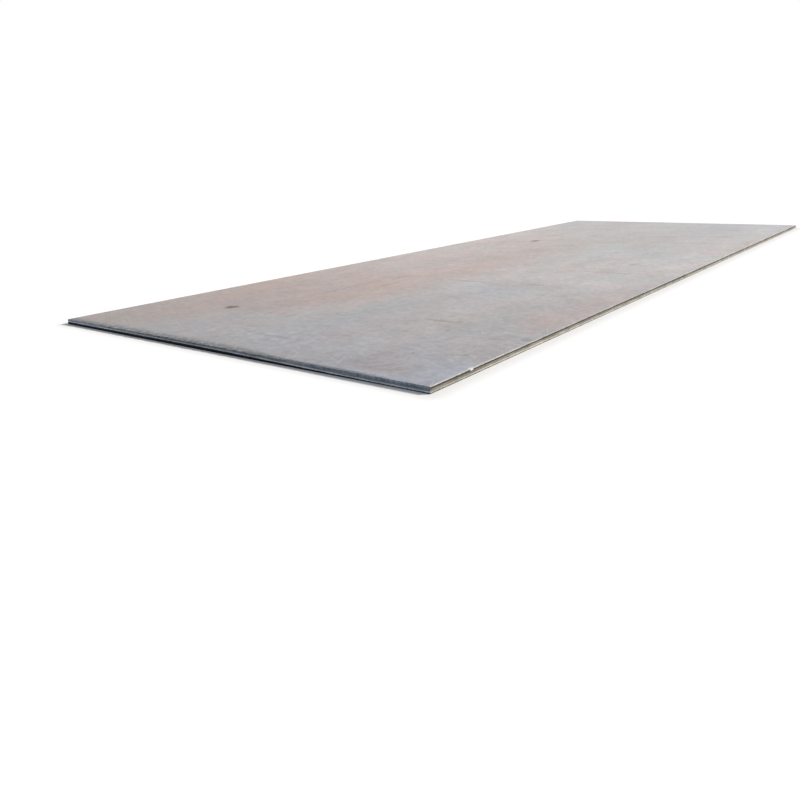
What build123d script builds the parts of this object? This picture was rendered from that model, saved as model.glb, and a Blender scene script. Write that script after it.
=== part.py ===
"""Hot-rolled steel plate, cut to size on a shear, lying flat.

The plate is one piece of rolled stock. Each of its four edges shows the section that a shear leaves, from
the underside up: a rolled-over corner where the blade went in, a smooth land where it cut, a rough bank
that broke away and leans in, and a burr that stands along the upper edge.

Frame: millimetres, origin at the centre of the underside, X across the plate, Y along it, Z up.
"""

import os
from math import atan2, degrees

from build123d import *

# Size of the plate as it is sold
plate_width = 2200.0
plate_length = 6000.0
plate_thickness = 25.0

# Sheared edge, from the underside up
rollover_radius = 2.0
land_height = 6.0
bank_lean = 1.2

# Burr along the upper edge
burr_height = 0.5
burr_crest = 0.3
burr_foot = 1.2

# Levels and sizes that follow from the values above
land_top = rollover_radius + land_height
bank_height = plate_thickness - land_top
bank_angle = degrees(atan2(bank_lean, bank_height))
top_width = plate_width - 2 * bank_lean
top_length = plate_length - 2 * bank_lean
burr_angle = degrees(atan2(burr_foot - burr_crest, burr_height))

with BuildPart() as steel_plate:
    # Lower part of the plate, as high as the blade cut cleanly
    with BuildSketch():
        Rectangle(plate_width, plate_length)
    extrude(amount=land_top)

    # Underside edges, pulled round by the blade
    underside = steel_plate.faces().sort_by(Axis.Z)[0]
    fillet(underside.edges(), radius=rollover_radius)

    # Upper part, which broke away and leans in towards the top face
    with BuildSketch(Plane.XY.offset(land_top)):
        Rectangle(plate_width, plate_length)
    extrude(amount=bank_height, taper=bank_angle)

    # Burr, a low rim with an upright outer side and a sloping inner side
    with BuildSketch(Plane.XY.offset(plate_thickness)):
        Rectangle(top_width, top_length)
    extrude(amount=burr_height)
    with BuildSketch(Plane.XY.offset(plate_thickness)):
        Rectangle(top_width - 2 * burr_foot, top_length - 2 * burr_foot)
    extrude(amount=burr_height, taper=-burr_angle, mode=Mode.SUBTRACT)

steel_plate.part.label = "steel_plate"

os.makedirs("parts", exist_ok=True)
export_step(steel_plate.part, "parts/steel_plate.step")
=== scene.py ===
from math import pi, radians

import bpy
import numpy as np
from mathutils import Matrix, Vector


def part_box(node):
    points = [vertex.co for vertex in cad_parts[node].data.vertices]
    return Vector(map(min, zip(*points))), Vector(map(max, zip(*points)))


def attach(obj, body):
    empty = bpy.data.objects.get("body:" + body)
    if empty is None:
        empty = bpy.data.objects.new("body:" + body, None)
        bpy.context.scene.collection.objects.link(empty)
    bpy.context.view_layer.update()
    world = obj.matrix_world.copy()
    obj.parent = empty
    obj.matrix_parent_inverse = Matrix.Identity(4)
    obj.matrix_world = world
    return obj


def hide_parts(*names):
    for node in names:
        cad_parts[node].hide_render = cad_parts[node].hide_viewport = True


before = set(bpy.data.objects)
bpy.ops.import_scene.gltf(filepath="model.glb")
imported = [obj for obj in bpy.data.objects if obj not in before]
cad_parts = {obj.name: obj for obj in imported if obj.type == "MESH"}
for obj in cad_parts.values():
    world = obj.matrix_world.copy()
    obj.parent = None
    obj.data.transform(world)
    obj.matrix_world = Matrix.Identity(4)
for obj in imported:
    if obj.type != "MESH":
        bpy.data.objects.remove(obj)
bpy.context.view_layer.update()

# The plate: one piece of hot-rolled steel with the mill's grey oxide skin on both faces, dusted with rust.
# It was cut to size on a shear, which pulled the lower corner of each edge round, cut a smooth land above
# it, tore the rest away as a bank that leans in, and left a burr along the upper edge.

half_width, half_length, full_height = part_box("steel_plate")[1]
half_size = np.array([half_width, half_length])
rollover = 0.0020
land_top = 0.0080
bank_lean = 0.0012
burr_height = 0.0005
burr_crest = 0.0003
burr_foot = 0.0012
face_height = full_height - burr_height

cells_across = 44
cells_along = 120
fine_steps = 8
corner_signs = np.array([(-1, -1), (1, -1), (1, 1), (-1, 1)])
side_normals = np.array([(0, -1), (1, 0), (0, 1), (-1, 0)])
side_cells = np.array([cells_across, cells_along] * 2)
side_lengths = 2 * np.array([half_width, half_length] * 2)


def round_the_plate(steps):
    """Unit rectangle, walked from the near left corner and round by the right, with this many steps to
    each cell: a point is a straight blend of its side's two corners. Gives the points, their sides and
    their shares of the side."""
    counts = side_cells * steps
    side = np.repeat(np.arange(4), counts)
    share = np.concatenate([np.arange(count) / count for count in counts])
    start, end = corner_signs[side], corner_signs[(side + 1) % 4]
    return start + (end - start) * share[:, None], side, share


walk, side_of_point, share_of_side = round_the_plate(fine_steps)
points_round = len(walk)
walk_spacing = side_lengths.sum() / points_round


def ragged(seed, grain, rows=1):
    """Smooth random rows that close on themselves round the plate: white noise blurred by a bell curve as
    wide as the grain, in metres, then brought to a spread of one."""
    white = np.random.default_rng(seed).standard_normal((rows, points_round))
    waves = np.fft.rfftfreq(points_round, walk_spacing)
    smooth = np.fft.irfft(np.fft.rfft(white) * np.exp(-((waves * grain) ** 2)), points_round)
    return smooth / smooth.std(axis=1, keepdims=True)


def edge_section():
    """The sheared edge as rings, from the underside up and over the burr. Each ring has its inset from the
    outer edge, its height, and its share of the bank's climb, which fades out again on the face."""
    turn = np.linspace(0, pi / 2, 5)
    climb = np.linspace(0, 1, 9)[1:]
    under = [(0.020, 0, 0), (0.008, 0, 0)]
    corner = np.stack([rollover * (1 - np.sin(turn)), rollover * (1 - np.cos(turn)), 0 * turn], axis=1)
    land = [(0, (rollover + land_top) / 2, 0), (0, land_top, 0)]
    bank = np.stack([bank_lean * climb, land_top + (face_height - land_top) * climb, climb], axis=1)
    burr = [(bank_lean, full_height, 1),
            (bank_lean + burr_crest, full_height, 1),
            (bank_lean + burr_foot, face_height, 1)]
    rim = [(0.008, face_height, 0.4), (0.014, face_height, 0), (0.025, face_height, 0)]
    parts = [np.array(part) for part in (under, corner, land, bank, burr, rim)]
    return np.concatenate(parts), np.cumsum([len(part) for part in parts])


section, part_ends = edge_section()
inset, height, climb = section.T
edge_start, bank_end, burr_end = part_ends[[0, 3, 4]]
rings = len(section)


def torn_edge():
    """Relief of the edge, ring by ring: how far each point lies inwards and below its ring. The bank is
    torn in grains that deepen upwards, its lip has a few deep nicks, and along most of the near end the lip
    sags and crumbles. The burr goes with the lip, and stands up only in places. It all dies out at the
    corners, so that the sides meet."""
    corner_fade = 0.02
    crumble_middle = 0.40
    crumble_reach = 0.36
    nick_level = 1.7
    nick_depth = 0.0010
    crumb_depth = 0.0020
    grain_depth = 0.00025
    sag_depth = 0.0034
    sag_reach = 0.012
    lip_drop = 0.5
    least_burr = 0.04
    to_corner = np.minimum(share_of_side, 1 - share_of_side) * side_lengths[side_of_point]
    fade = np.clip(to_corner / corner_fade, 0, 1)
    on_near_end = side_of_point == 0
    crumbling = on_near_end * np.exp(-(((share_of_side - crumble_middle) / crumble_reach) ** 4))
    nicks = np.clip(ragged(2, grain=0.012) - nick_level, 0, 2)
    crumbs = crumbling * np.clip(ragged(3, grain=0.020) + 0.5, 0, 2)
    lip = (nick_depth * nicks + crumb_depth * crumbs)[0] * fade
    grains = np.clip(1 + 0.6 * ragged(4, grain=0.008, rows=rings) + 0.5 * ragged(5, grain=0.06), 0, 3)
    slump = np.clip(1 + 0.5 * ragged(8, grain=0.03, rows=rings), 0, 2)
    for rough in (grains, slump):
        rough[bank_end:bank_end + 2] = rough[bank_end - 1]
    inwards = grain_depth * np.sqrt(climb)[:, None] * grains * fade + climb[:, None] ** 3 * lip
    over_lip = np.exp(-(inset - bank_lean) / sag_reach) * (np.arange(rings) >= bank_end - 1)
    sag = sag_depth * crumbling * slump * over_lip[:, None] * fade
    below = climb[:, None] ** 6 * lip_drop * lip + sag
    standing = np.clip(0.45 + 0.35 * ragged(6, grain=0.05) + 0.3 * ragged(7, grain=0.01), 0, 1)[0]
    standing = standing * fade * (1 - crumbling) * np.exp(-lip / burr_height)
    below[bank_end:bank_end + 2] += burr_height * (1 - np.maximum(standing, least_burr))
    return inwards, below


def edge_rings():
    """Every ring of the edge: the unit walk times the half size less the ring's inset, moved inwards along
    the side's normal and down by the relief."""
    inwards, below = torn_edge()
    flat = walk * (half_size - inset[:, None, None])
    flat = flat - side_normals[side_of_point] * inwards[..., None]
    return np.concatenate([flat, (height[:, None] - below)[..., None]], axis=2)


def rolling_waves(flat):
    """How far the top face lies below its full height: two shallow sine waves, one of 1.9 m mostly along
    the plate and one of 1.3 m mostly across it, that fade out at the edges."""
    wave_depth = 0.00008
    edge_fade = 0.3
    x, y = flat.T
    along = np.sin(2 * pi * (y / 1.9 + x / 3.1) + 0.7)
    across = np.sin(2 * pi * (x / 1.3 - y / 4.3) + 2.1)
    from_edge = np.min(half_size - np.abs(flat), axis=1)
    return wave_depth * (2 + along + across) * np.clip(from_edge / edge_fade, 0, 1)


def joined_rings(first, count):
    """Four-cornered faces between each ring and the next, for a run of rings."""
    ids = np.arange(count * points_round).reshape(count, points_round) + first * points_round
    turned = np.roll(ids, -1, axis=1)
    return np.stack([ids[:-1], turned[:-1], turned[1:], ids[1:]], axis=2).reshape(-1, 4)


def closed_face(ring, first_id):
    """One face of the plate, closed from a ring of points inwards: three rings that each have half the
    points of the one before, joined by triangles, then a plain grid. Gives new points, triangles and
    squares."""
    steps_and_insets = ((4, 0.040), (2, 0.065), (1, 0.110))
    points, triangles = [], []
    for steps, ring_inset in steps_and_insets:
        flat = round_the_plate(steps)[0] * (half_size - ring_inset)
        coarse = first_id + np.arange(len(flat))
        first_id += len(flat)
        start, middle, end = ring[0::2], ring[1::2], np.roll(ring[0::2], -1)
        after = np.roll(coarse, -1)
        for three in ((start, middle, coarse), (middle, after, coarse), (middle, end, after)):
            triangles.append(np.stack(three, axis=1))
        points.append(flat)
        ring = coarse
    grid = np.empty((cells_along + 1, cells_across + 1), int)
    near, right, far, left = np.split(ring, np.cumsum([cells_across, cells_along, cells_across]))
    grid[0, :-1], grid[:-1, -1], grid[-1, :0:-1], grid[:0:-1, 0] = near, right, far, left
    shares = [np.linspace(-1, 1, cells + 1)[1:-1] for cells in (cells_across, cells_along)]
    inner = np.stack(np.meshgrid(*shares), axis=2).reshape(-1, 2) * (half_size - ring_inset)
    grid[1:-1, 1:-1] = (first_id + np.arange(len(inner))).reshape(cells_along - 1, cells_across - 1)
    squares = np.stack([grid[:-1, :-1], grid[:-1, 1:], grid[1:, 1:], grid[1:, :-1]], axis=2)
    return np.concatenate([*points, inner]), np.concatenate(triangles), squares.reshape(-1, 4)


layout_margin = 0.01
layout_scale = (1 - 2 * layout_margin) / (2 * half_length)
face_band = 2 * half_width * layout_scale + layout_margin
strip_band = (1 - layout_margin - 2 * face_band) / 3
strip_of_side = np.array([2, 0, 2, 1])
strip_start = np.array([0, 0, face_band, 0])


def laid_flat(corners, band):
    """Layout of one big face: its corners seen from above, at the layout's scale, in a band of the
    square."""
    along_and_across = (corners.reshape(-1, 3)[:, :2] + half_size)[:, ::-1] * layout_scale
    return along_and_across + layout_margin + (0, band * face_band)


def laid_edge(first, count):
    """Layout of the edge: each side is a strip at the layout's scale along the plate, drawn much higher up
    the section, whose rings are spaced by their distance along it."""
    steps_up = np.hypot(np.diff(inset[first:first + count]), np.diff(height[first:first + count]))
    up = np.concatenate([[0], np.cumsum(steps_up)]) / steps_up.sum() * (strip_band - layout_margin)
    low, high = np.broadcast_arrays(up[:-1, None], up[1:, None], np.empty(points_round))[:2]
    step = 1 / (side_cells[side_of_point] * fine_steps)
    next_share = share_of_side + step
    shares = np.stack([share_of_side, next_share, next_share, share_of_side], axis=1)
    along = shares * (side_lengths[side_of_point] * layout_scale)[:, None]
    along = along + strip_start[side_of_point, None]
    foot = 2 * face_band + strip_of_side[side_of_point] * strip_band
    across = np.stack([low, low, high, high], axis=2) + foot[:, None]
    return np.stack(np.broadcast_arrays(along, across), axis=-1).reshape(-1, 2) + layout_margin


def plate_mesh():
    """The whole plate as one closed mesh: the rings of the edge, then the top face and the underside. Its
    one layout on a square holds both faces at the same scale, and the edges as strips."""
    crease_angle = 35
    edge = edge_rings().reshape(-1, 3)
    last_ring = np.arange(points_round) + (rings - 1) * points_round
    top, top_triangles, top_squares = closed_face(last_ring, len(edge))
    under, under_triangles, under_squares = closed_face(np.arange(points_round), len(edge) + len(top))
    top = np.column_stack([top, face_height - rolling_waves(top)])
    under = np.column_stack([under, np.zeros(len(under))])
    points = np.concatenate([edge, top, under])
    top_faces = [joined_rings(burr_end - 1, rings - burr_end + 1), top_squares, top_triangles]
    under_faces = [joined_rings(0, edge_start + 1), under_squares[:, ::-1], under_triangles[:, ::-1]]
    edge_faces = joined_rings(edge_start, burr_end - edge_start)
    faces = [face for group in (*top_faces, *under_faces, edge_faces) for face in group.tolist()]
    mesh = bpy.data.meshes.new("rolled_plate")
    mesh.from_pydata(points.tolist(), [], faces)
    is_edge = np.arange(len(faces)) >= len(faces) - len(edge_faces)
    mesh.polygons.foreach_set("material_index", is_edge.astype(np.int32))
    mesh.polygons.foreach_set("use_smooth", np.ones(len(faces), bool))
    mesh.set_sharp_from_angle(angle=radians(crease_angle))
    layout = [laid_flat(points[group], 0) for group in top_faces]
    layout += [laid_flat(points[group], 1) for group in under_faces]
    layout.append(laid_edge(edge_start, burr_end - edge_start))
    mesh.uv_layers.new(name="OFBake").uv.foreach_set("vector", np.concatenate(layout).ravel())
    return mesh


class Wire:
    """An output of one node in a finish. Arithmetic on wires, or on a wire and a number, adds Math
    nodes."""

    def __init__(self, socket):
        self.socket = socket

    def node(self, kind, settings, sockets, output=0):
        """A new node in the same tree, of this kind: its settings first, then its sockets' values or
        links."""
        tree = self.socket.id_data
        made = tree.nodes.new(kind)
        for name, value in settings.items():
            setattr(made, name, value)
        for name, value in sockets.items():
            if isinstance(value, Wire):
                tree.links.new(value.socket, made.inputs[name])
            else:
                made.inputs[name].default_value = value
        return Wire(made.outputs[output])

    def maths(self, operation, *values):
        """The result of one Math node on these wires and numbers."""
        return self.node("ShaderNodeMath", {"operation": operation}, dict(enumerate(values)))

    def __add__(self, other):
        return self.maths("ADD", self, other)

    def __sub__(self, other):
        return self.maths("SUBTRACT", self, other)

    def __rsub__(self, other):
        return self.maths("SUBTRACT", other, self)

    def __mul__(self, other):
        return self.maths("MULTIPLY", self, other)

    def __pow__(self, other):
        return self.maths("POWER", self, other)

    def __abs__(self):
        return self.maths("ABSOLUTE", self)

    __radd__ = __add__
    __rmul__ = __mul__

    def rise(self, low, high):
        """0 at low and 1 at high, with a soft start and end. It falls where low is above high."""
        return self.node("ShaderNodeMapRange", {"interpolation_type": "SMOOTHSTEP"},
                         {"Value": self, "From Min": low, "From Max": high})

    def axes(self, letters):
        """The coordinates of these places along the axes with these letters."""
        return [self.node("ShaderNodeSeparateXYZ", {}, {0: self}, letter) for letter in letters]

    def stretched(self, scale, turn=0.0):
        """The same places, turned about Z by degrees and then scaled along each axis."""
        return self.node("ShaderNodeMapping", {"vector_type": "TEXTURE"},
                         {"Vector": self, "Rotation": (0, 0, radians(turn)),
                          "Scale": tuple(1 / s for s in scale)})

    def noise(self, scale, detail, roughness, seed):
        """Cloudy noise from 0 to 1 at these places, with this many clouds to the metre."""
        return self.node("ShaderNodeTexNoise", {"noise_dimensions": "4D"},
                         {"Vector": self, "W": seed, "Scale": scale,
                          "Detail": detail, "Roughness": roughness})

    def blend(self, under, over):
        """A colour that goes from under to over as this wire goes from 0 to 1."""
        return self.node("ShaderNodeMix", {"data_type": "RGBA"}, {0: self, 6: under, 7: over}, 2)

    def tinted(self, tint):
        """This colour times another one."""
        return self.node("ShaderNodeVectorMath", {"operation": "MULTIPLY"}, {0: self, 1: tint})

    def lit(self, lightness):
        """This colour made lighter or darker by a number."""
        return self.node("ShaderNodeVectorMath", {"operation": "SCALE"}, {0: self, "Scale": lightness})


def start_finish(name, specular):
    """A new finish: its shader node, and a wire that carries places on the plate, in metres from its
    middle, with x to the right and y away from the near end."""
    finish = bpy.data.materials.new(name)
    finish.use_nodes = True
    shader = finish.node_tree.nodes["Principled BSDF"]
    shader.inputs["Specular IOR Level"].default_value = specular
    return finish, shader, Wire(shader.outputs[0]).node("ShaderNodeTexCoord", {}, {}, "Object")


def set_finish(shader, colour, roughness, relief, relief_depth):
    """Links what varies over the surface to the shader, the relief through a Bump node."""
    bump = colour.node("ShaderNodeBump", {}, {"Height": relief, "Distance": relief_depth})
    for name, wire in (("Base Color", colour), ("Roughness", roughness), ("Normal", bump)):
        shader.id_data.links.new(wire.socket, shader.inputs[name])


def chip_and_glint_at(x, y):
    """1 at the one bright chip in the lip of the right long side, by the near corner, and 0 along the rest
    of the lip: a soft step down from the chip's middle, that fades towards the left side. The chip's
    brightness is partly bare metal and partly a painted highlight."""
    chip_middle = -2.746
    chip_reach = 0.014
    return abs(y - chip_middle).rise(chip_reach, chip_reach * 0.5) * x.rise(0.0, 1.0)


def mill_scale():
    """The oxide skin of both faces. Its warmth runs from blue-grey to a bloom of rust, its tinge from blue
    to yellow, and its lightness from the dark near end to the far one. All three are cloudy at every size
    and drawn out along the plate by the rolls. On the skin are freckles, spots, rubs, rust marks, oil
    stains, scratches and scuffs. It is dusty, flaked and crumbled along the near lip. A pale blue sheen at
    the near right corner and along the right of the near lip is a painted reflection. Along the long sides
    runs a bright line that is partly wear and partly a painted highlight, with painted glints."""
    cool_grey = (0.923, 0.968, 1.066, 1)
    bloom_pink = (1.360, 0.910, 0.790, 1)
    blue_tinge = (0.970, 0.970, 1.060, 1)
    yellow_tinge = (1.030, 1.030, 0.940, 1)
    rust_brown = (0.230, 0.135, 0.090, 1)
    rust_orange = (0.430, 0.265, 0.170, 1)
    oil_dark = (0.085, 0.068, 0.020, 1)
    rub_dark = (0.110, 0.104, 0.098, 1)
    scuff_pale = (0.500, 0.495, 0.490, 1)
    flaked_dark = (0.075, 0.080, 0.086, 1)
    crumb_dark = (0.020, 0.021, 0.023, 1)
    # Bright line along the long sides: partly wear, partly a painted highlight
    wear_and_glint_bright = (0.700, 0.700, 0.700, 1)

    finish, shader, place = start_finish("mill_scale", specular=0.5)
    x, y = place.axes("XY")

    # Clouds of several sizes, and streaks along the plate
    rolled = place.stretched((2.2, 0.5, 1))
    tints = place.noise(2.6, detail=8, roughness=0.72, seed=2)
    mottle = place.noise(3.0, detail=9, roughness=0.86, seed=3)
    specks = place.noise(30, detail=5, roughness=0.7, seed=4)
    warm_streaks = rolled.noise(1, detail=7, roughness=0.7, seed=16)
    light_streaks = rolled.noise(1, detail=7, roughness=0.7, seed=17)
    tinge_streaks = rolled.noise(1.3, detail=7, roughness=0.75, seed=18)
    wander = (place.noise(1.1, detail=5, roughness=0.6, seed=1) - 0.5) * 0.6

    # Parts of the face, each 1 inside and 0 outside
    left_part = (x + wander + y.rise(-1.5, -3.1) * 0.65).rise(0.22, -0.30)
    right_part = (x + wander).rise(-0.2, 0.6)
    near_end = (y + wander).rise(-1.9, -2.9)
    left_border = x.rise(-0.75, -1.02)
    right_border = x.rise(0.72, 1.02)
    from_lip = y + half_length
    # Painted reflection: a pale blue sheen at the near right corner and along the right of the near lip
    near_corner = x.rise(0.90, 1.06) * y.rise(-2.55, -2.85)
    painted_sheen = near_corner.maths("MAXIMUM", near_corner, from_lip.rise(0.08, 0.02) * x.rise(0.45, 0.95))

    # Warmth: most on the left and towards the near end, less at both ends
    warmth = 0.287 + left_part * (y.rise(1.2, -1.8) * 0.37 + y.rise(-1.1, -1.8) * 0.08 + 0.115)
    warmth = warmth - y.rise(1.0, 3.0) * 0.115 - near_end * 0.11
    warmth = warmth - left_border * y.rise(-1.2, -0.6) * 0.07
    warmth = warmth + right_border * y.rise(-2.6, -1.7) * y.rise(0.0, -1.2) * 0.12 - painted_sheen * 0.45
    warmth = warmth + (tints - 0.5) * 1.3 + (warm_streaks - 0.5) * 1.2

    # Tinge: yellow in the middle and on the left, blue on the right at both ends
    tinge = 0.57 + y.rise(-1.5, 0.8) * 0.17 + left_part * (y.rise(-0.8, 1.0) * 0.10 + near_end * 0.22)
    tinge = tinge - (1 - left_part) * (y.rise(1.6, 2.9) * 0.29 + near_end * 0.26)
    tinge = tinge - painted_sheen * 0.50 + (tinge_streaks - 0.5) * 1.6

    # Lightness: it falls towards the near end, and is higher along the borders; the painted sheen lifts it
    lightness = 0.332 - y.rise(-0.4, -2.9) * (0.105 - x.rise(-0.3, 0.3) * 0.043)
    lightness = lightness - left_part * (y.rise(0.0, -2.0) * 0.010 + 0.008) + painted_sheen * 0.078
    lightness = lightness - from_lip.rise(0.25, 0.08) * x.rise(0.1, 0.5) * 0.030
    lightness = lightness + right_part * y.rise(-1.4, -0.2) * y.rise(1.2, -0.1) * 0.030
    lightness = lightness + right_border * y.rise(-0.8, 0.2) * 0.070
    lightness = lightness - near_end * x.rise(0.0, -0.3) * 0.014
    lightness = lightness + left_border * y.rise(-0.9, 0.2) * y.rise(2.7, 2.0) * 0.050
    clouds = (mottle - 0.5) * 2.0 + (specks - 0.5) * 1.3 + (light_streaks - 0.5) * 0.80

    colour = warmth.blend(cool_grey, bloom_pink).tinted(tinge.blend(blue_tinge, yellow_tinge))
    colour = colour.lit(lightness * (clouds + 1))

    # Freckles and spots of rust
    freckle_strength = 0.30
    spot_strength = 0.40
    freckles = specks.rise(0.60, 0.70) * warmth.rise(0.1, 0.9)
    colour = (freckles * freckle_strength).blend(colour, rust_brown)
    spots = place.noise(9, detail=5, roughness=0.7, seed=15).rise(0.58, 0.70)
    colour = (spots * spot_strength).blend(colour, rust_orange)

    def blot(at_x, at_y, reach_x, reach_y):
        """1 inside an oval on the face and 0 outside it, with an uneven edge."""
        away = (((x - at_x) * (1 / reach_x)) ** 2 + ((y - at_y) * (1 / reach_y)) ** 2) ** 0.5
        return (away + (specks - 0.5) * 1.2).rise(1.3, 0.4)

    def add_marks(colour, mark_colour, marks):
        """Blots of one colour on the face, each with its place, its reach both ways and its strength."""
        for *oval, strength in marks:
            colour = (blot(*oval) * strength).blend(colour, mark_colour)
        return colour

    # Single marks: rubs, scratches and pits, then rust, then oil
    colour = add_marks(colour, rub_dark, (
        (0.127, -2.143, 0.050, 0.022, 0.4), (0.477, -1.092, 0.065, 0.026, 0.6),
        (0.576, -2.143, 0.075, 0.016, 0.6), (0.696, -0.485, 0.210, 0.022, 0.4),
        (0.553, -2.040, 0.018, 0.016, 0.5), (0.646, -2.119, 0.016, 0.020, 0.5),
        (0.697, -2.289, 0.009, 0.016, 1.0), (0.793, -2.675, 0.008, 0.009, 1.0),
        (0.150, -2.745, 0.200, 0.012, 0.5), (-0.441, -1.620, 0.014, 0.340, 0.5),
        (-0.388, -1.170, 0.014, 0.090, 0.4), (0.352, 0.474, 0.022, 0.050, 0.5),
        (0.683, -0.074, 0.034, 0.036, 0.6), (0.659, 1.256, 0.340, 0.040, 0.22),
        (0.328, 1.653, 0.110, 0.045, 0.3), (0.660, 2.388, 0.090, 0.060, 0.35),
        (0.257, -1.136, 0.120, 0.020, 0.3), (1.062, -2.282, 0.026, 0.034, 0.6),
        (0.945, -2.332, 0.022, 0.016, 0.5), (0.985, -2.610, 0.014, 0.018, 0.6),
        (0.768, 1.762, 0.070, 0.055, 0.3), (0.730, 2.370, 0.070, 0.060, 0.3),
        (-0.291, -2.380, 0.015, 0.044, 0.5), (-0.148, -2.394, 0.017, 0.040, 0.5)))
    colour = add_marks(colour, rust_orange, (
        (-0.367, -1.477, 0.110, 0.120, 0.28), (0.720, -1.084, 0.040, 0.050, 0.5),
        (-0.116, 2.264, 0.110, 0.220, 0.45)))
    colour = add_marks(colour, rust_brown, (
        (-0.165, -0.297, 0.300, 0.360, 0.22), (0.541, -2.138, 0.068, 0.024, 0.5),
        (-0.294, -1.448, 0.020, 0.120, 0.7), (0.029, -1.128, 0.090, 0.024, 0.7),
        (-0.136, -1.133, 0.030, 0.030, 0.4), (-0.447, -2.381, 0.016, 0.036, 0.4),
        (-0.216, -2.380, 0.015, 0.036, 0.6), (0.247, -0.654, 0.050, 0.045, 0.4),
        (0.961, -2.298, 0.060, 0.080, 0.16)))
    oil_strength = 0.52
    oil = blot(-0.592, -2.382, 0.036, 0.043)
    oil = oil.maths("MAXIMUM", oil, blot(-0.573, 0.975, 0.038, 0.064))
    colour = (oil * oil_strength).blend(colour, oil_dark)

    # Strokes four ways, pale where scuffed and dark where scratched, and two scuffed patches
    stroke_stretch = (4, 90, 1)
    scuff_strength = 0.32
    scratch_strength = 0.36
    for turn, seed in ((12, 9), (-64, 10), (81, 11), (-28, 12)):
        strokes = place.stretched(stroke_stretch, turn).noise(1, detail=2, roughness=0.5, seed=seed)
        colour = (strokes.rise(0.62, 0.72) * scuff_strength).blend(colour, scuff_pale)
        colour = (strokes.rise(0.37, 0.28) * scratch_strength).blend(colour, rub_dark)
    for *oval, strength in ((0.050, -2.750, 0.420, 0.160, 0.30), (1.010, -2.660, 0.070, 0.080, 0.60)):
        colour = (specks.rise(0.52, 0.64) * blot(*oval) * strength).blend(colour, scuff_pale)

    # The near lip: dusty and flaked, crumbled on the left, sharper on the right
    crumb_stretch = (44, 44, 1)
    dust_strength = 0.20
    flake_strength = 0.95
    bare_strength = 0.70
    dark_crumb_strength = 0.95
    pale_crumb_strength = 0.55
    sharp_lip = x.rise(0.10, 0.50)
    dusting = from_lip.rise(0.120, 0.020) * (1 - sharp_lip)
    colour = (dusting * dust_strength).blend(colour, flaked_dark)
    crumbs = place.stretched(crumb_stretch).noise(1, detail=3, roughness=0.65, seed=13)
    lip_shift = x.rise(-0.95, -0.50) * (1 - sharp_lip) * 0.020 + x.rise(-0.80, -1.00) * 0.014
    flake_reach = from_lip - lip_shift - (crumbs - 0.5) * (0.090 - sharp_lip * 0.050)
    flaking = flake_reach.rise(0.044 - sharp_lip * 0.026, 0.010) * x.rise(1.05, 0.75)
    colour = (flaking * flake_strength).blend(colour, flaked_dark)
    bare = from_lip.rise(0.038, 0.018) * x.rise(-0.76, -0.90)
    bare = bare + from_lip.rise(0.021, 0.011) * sharp_lip * x.rise(0.95, 0.75)
    colour = (bare * bare_strength).blend(colour, crumb_dark)
    crumbling = from_lip.rise(0.056, 0.020) * x.rise(-0.95, -0.70) * x.rise(0.45, 0.00)
    colour = (crumbs.rise(0.51, 0.58) * crumbling * dark_crumb_strength).blend(colour, crumb_dark)
    colour = (crumbs.rise(0.44, 0.36) * crumbling * pale_crumb_strength).blend(colour, scuff_pale)

    # The long sides: a thin bright line, partly wear and partly a painted highlight, with painted glints
    # and the chip, whose brightness is partly a painted highlight too
    painted_glints = place.noise(8, detail=2, roughness=0.5, seed=19).rise(0.64, 0.72)
    chip_and_glint = chip_and_glint_at(x, y)
    from_side = half_width - abs(x) + (specks - 0.5) * 0.012 - painted_glints * 0.008 - chip_and_glint * 0.006
    wear_and_glint_strength = y.rise(-2.2, -2.6) * 0.3 + y.rise(-1.6, -0.4) * 0.1 + painted_glints * 0.4 + chip_and_glint * 0.4 + 0.6
    wear_and_glint = from_side.rise(0.008, 0.003) * wear_and_glint_strength
    colour = wear_and_glint.blend(colour, wear_and_glint_bright)

    crumb_relief = 40
    roughness = 0.32 + (warmth - 0.3) * 0.06 + (mottle - 0.5) * 0.12 + freckles * 0.2 + oil * 0.4
    relief = mottle * 0.6 + specks * 0.4 + (0.5 - crumbs) * crumbling * crumb_relief
    set_finish(shader, colour, roughness, relief, relief_depth=0.00015)
    return finish


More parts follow.
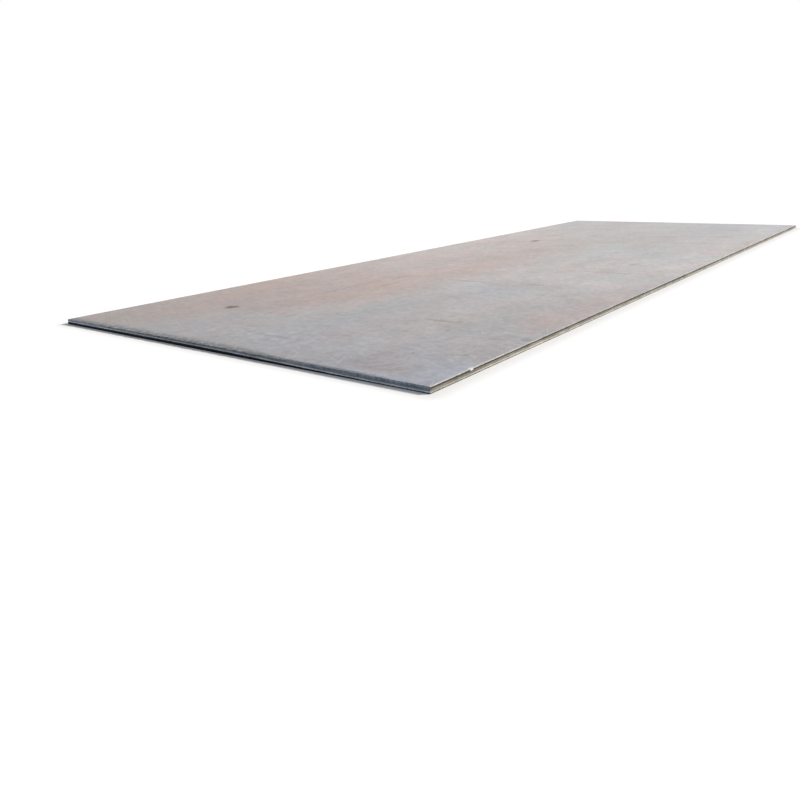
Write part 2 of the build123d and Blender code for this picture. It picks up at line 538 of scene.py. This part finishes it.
def sheared_steel():
    """Bare steel of the cut edges. The rolled-over corner keeps the skin, painted near black as the plate's
    contact shadow, and this painted shadow reaches higher towards the left of the ends, taking the land
    above it up with it. The land is smooth and light, with drag lines up the cut. The bank is matt and
    grainy. The ends and the long sides are shaded and lit copies of the same steel: on the ends, in painted
    shade, the bank is blue-grey, darker downwards and with dark crumbs under the near lip, and the land
    bluish; on the long sides, in painted sunlight, the bank is pale and warm, with a dark line under the
    burr, whose brightness is partly bare metal and partly a painted highlight."""
    # Near black, for the skin band that is painted contact shadow, and for the crumbs
    skin_and_shadow_black = (0.012, 0.012, 0.014, 1)
    # Painted light: the ends are the steel in painted blue shade, the long sides the same steel sunlit
    shaded_end_bank_low = (0.190, 0.235, 0.285, 1)
    shaded_end_bank_high = (0.290, 0.330, 0.385, 1)
    shaded_end_land = (0.640, 0.700, 0.790, 1)
    sunlit_side_bank_low = (0.330, 0.299, 0.253, 1)
    sunlit_side_bank_high = (0.190, 0.169, 0.140, 1)
    side_line = (0.068, 0.061, 0.050, 1)
    sunlit_side_land = (0.580, 0.545, 0.490, 1)
    # Burr: bare metal, made lighter by a painted highlight
    burr_and_highlight_bright = (0.750, 0.750, 0.745, 1)
    painted_shadow_foot = 0.0010
    painted_shadow_climb = 0.0085
    skin_shadow_full = rollover * 1.2
    skin_shadow_end = rollover * 1.7
    land_blur = 0.0012
    line_low = 0.0155
    line_high = 0.0190
    crumb_low = 0.015
    crumb_high = 0.022
    crumb_strength = 0.6
    burr_low = face_height - 0.0034
    burr_high = face_height - 0.0020
    chip_depth = 0.004

    finish, shader, place = start_finish("sheared_steel", specular=0.05)
    x, y, z = place.axes("XYZ")
    on_side = x.maths("GREATER_THAN", abs(x) - half_width, abs(y) - half_length)
    on_end = 1 - on_side
    grain = place.noise(150, detail=4, roughness=0.7, seed=5)
    drag = place.stretched((90, 90, 18)).noise(1, detail=4, roughness=0.7, seed=6)
    patches = place.noise(5, detail=6, roughness=0.75, seed=7)
    dashes = place.stretched((14, 14, 160)).noise(1, detail=5, roughness=0.75, seed=14)
    uneven = (grain - 0.5) * 0.003 + (drag - 0.5) * 0.012

    # Skin, land and bank, from the underside up: the skin is painted near black as the plate's contact
    # # shadow, higher towards the left of the ends
    cut = z - on_end * (x.rise(1.05, -0.10) * painted_shadow_climb + painted_shadow_foot)
    bank = (cut + uneven).rise(land_top - land_blur, land_top + land_blur)
    climb = (z + uneven).rise(land_top, face_height)
    # Painted light: the ends take the shaded copy of the steel and the long sides the sunlit copy
    shaded_end_bank = climb.blend(shaded_end_bank_low, shaded_end_bank_high)
    sunlit_side_bank = climb.blend(sunlit_side_bank_low, sunlit_side_bank_high)
    dark_line = (z + uneven * 0.5).rise(line_low, line_high)
    sunlit_side_bank = dark_line.blend(sunlit_side_bank, side_line)
    colour = bank.blend(on_side.blend(shaded_end_land, sunlit_side_land), on_side.blend(shaded_end_bank, sunlit_side_bank))
    # Painted shadow: near black up to the rolled-over skin's top, as the plate's contact shadow
    colour = (cut + uneven * 0.2).rise(skin_shadow_end, skin_shadow_full).blend(colour, skin_and_shadow_black)

    # Crumbs under the near lip
    crumbs = place.stretched((44, 44, 80)).noise(1, detail=3, roughness=0.65, seed=13).rise(0.52, 0.62)
    crumbling = on_end * y.rise(0.0, -1.0) * x.rise(-0.95, -0.70) * x.rise(0.45, 0.00)
    colour = (crumbs * crumbling * z.rise(crumb_low, crumb_high) * crumb_strength).blend(colour, skin_and_shadow_black)

    # Light and shade along each edge
    shade = (grain - 0.5) * 1.2 + (drag - 0.5) * 1.6 + (patches - 0.5) * 1.4 + (dashes - 0.5) * 2.6 + 1
    end_shade = x.rise(0.2, 1.0) * 0.10 - x.rise(0.5, -0.1) * 0.27 + x.rise(-0.15, -1.0) * 0.42
    side_shade = y.rise(-2.3, -2.9) * 0.22
    colour = colour.lit(shade * (1 + on_end * end_shade - on_side * side_shade))

    # Burr of the long sides, with the chip: bare metal lightened by a painted highlight, stronger in places
    chip_and_glint = chip_and_glint_at(x, y)
    burr = (z + uneven * 0.4 + chip_and_glint * chip_depth).rise(burr_low, burr_high) * on_side
    painted_gleam = y.rise(-2.2, -2.6) * 0.2 + y.rise(-1.6, -0.4) * 0.2 + patches.rise(0.45, 0.60) * 0.3
    colour = (burr * (painted_gleam + chip_and_glint * 0.4 + 0.45)).blend(colour, burr_and_highlight_bright)

    roughness = 0.45 + bank * 0.3
    relief = grain * bank + drag * (1 - bank) * 0.3
    set_finish(shader, colour, roughness, relief, relief_depth=0.0006)
    return finish


plate = bpy.data.objects.new("rolled_plate", plate_mesh())
bpy.context.scene.collection.objects.link(plate)
plate.data.materials.append(mill_scale())
plate.data.materials.append(sheared_steel())
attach(plate, "root")
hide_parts("steel_plate")

# The floor: a plain pale sheet that the plate lies on. It looks white, keeps the plate's shadow, and throws
# only a little light back up.

floor_reach = 60.0
floor_gap = 0.0002
floor_pale = (0.92, 0.92, 0.92, 1)
floor_dull = (0.45, 0.45, 0.45, 1)
floor_lift = 0.20
floor_lift_reach = 0.10

floor_mesh = bpy.data.meshes.new("floor")
floor_corners = np.column_stack([corner_signs * floor_reach, np.full(4, -floor_gap)])
floor_mesh.from_pydata(floor_corners.tolist(), [], [(0, 1, 2, 3)])
floor = bpy.data.objects.new("floor", floor_mesh)
bpy.context.scene.collection.objects.link(floor)


def pale_floor():
    """White to the camera and in reflections, by a pale matt sheet with a little light of its own, which
    fades out beside the plate to keep its shadow, and duller to the light that bounces between surfaces."""
    finish = bpy.data.materials.new("pale_floor")
    finish.use_nodes = True
    finish.node_tree.nodes.remove(finish.node_tree.nodes["Principled BSDF"])
    output = finish.node_tree.nodes["Material Output"].inputs["Surface"]
    start = Wire(output)
    x, y = start.node("ShaderNodeTexCoord", {}, {}, "Object").axes("XY")
    past_side = x.maths("MAXIMUM", abs(x) - half_width, 0.0)
    past_end = y.maths("MAXIMUM", abs(y) - half_length, 0.0)
    away = (past_side ** 2 + past_end ** 2) ** 0.5
    pale = start.node("ShaderNodeBsdfDiffuse", {}, {"Color": floor_pale})
    dull = start.node("ShaderNodeBsdfDiffuse", {}, {"Color": floor_dull})
    glow = start.node("ShaderNodeEmission", {}, {"Strength": floor_lift})
    lifted = start.node("ShaderNodeAddShader", {}, {0: pale, 1: glow})
    lifting = away.rise(0.0, floor_lift_reach)
    shown = start.node("ShaderNodeMixShader", {}, {0: lifting, 1: pale, 2: lifted})
    is_bounce = start.node("ShaderNodeLightPath", {}, {}, "Is Diffuse Ray")
    both = start.node("ShaderNodeMixShader", {}, {0: is_bounce, 1: shown, 2: dull})
    finish.node_tree.links.new(both.socket, output)
    return finish


floor.data.materials.append(pale_floor())

# The light: an even, slightly cool surround that looks white, and one broad soft lamp from the right and
# behind, a little warm, so that the long side is lit and the near end lies in shade. Reflections show the
# white surround, and not the lamp.

surround_cool = (0.94, 0.98, 1.06, 1)
surround_strength = 0.32
surround_white = (1, 1, 1, 1)
lamp_warm = (1.0, 0.965, 0.91)
lamp_strength = 3.7
lamp_softness = 12.0
lamp_from = Vector((0.62, 0.58, 0.53))

world = bpy.data.worlds.new("surround")
world.use_nodes = True
bpy.context.scene.world = world
background = world.node_tree.nodes["Background"]
background.inputs["Color"].default_value = surround_cool
background.inputs["Strength"].default_value = surround_strength
sky = Wire(background.outputs[0])
white = sky.node("ShaderNodeBackground", {}, {"Color": surround_white, "Strength": 1.0})
seen = sky.node("ShaderNodeLightPath", {}, {}, "Is Camera Ray")
for ray in ("Is Glossy Ray", "Is Transmission Ray"):
    seen = seen.maths("MAXIMUM", seen, sky.node("ShaderNodeLightPath", {}, {}, ray))
both = sky.node("ShaderNodeMixShader", {}, {0: seen, 1: sky, 2: white})
world.node_tree.links.new(both.socket, world.node_tree.nodes["World Output"].inputs["Surface"])

lamp = bpy.data.lights.new("lamp", "SUN")
lamp.energy = lamp_strength
lamp.angle = radians(lamp_softness)
lamp.color = lamp_warm
lamp_object = bpy.data.objects.new("lamp", lamp)
lamp_object.rotation_mode = "QUATERNION"
lamp_object.rotation_quaternion = lamp_from.to_track_quat("Z", "Y")
lamp_object.visible_glossy = False
bpy.context.scene.collection.objects.link(lamp_object)

# The camera: low over the plate and off its near right corner, looking along it to the left, and held a
# little askew, as by hand.

camera_place = (2.391, -4.823, 0.7155)
camera_azimuth = 37.83
camera_elevation = 18.14
camera_roll = -1.97
camera_lens = 32.73

camera = bpy.data.objects.new("camera", bpy.data.cameras.new("camera"))
camera.data.lens = camera_lens
turn = Matrix.Rotation(radians(camera_azimuth), 4, "Z")
tilt = Matrix.Rotation(radians(90 - camera_elevation), 4, "X")
roll = Matrix.Rotation(radians(camera_roll), 4, "Z")
camera.matrix_world = Matrix.Translation(camera_place) @ turn @ tilt @ roll
bpy.context.scene.collection.objects.link(camera)
bpy.context.scene.camera = camera
bpy.context.scene.view_settings.view_transform = "Standard"
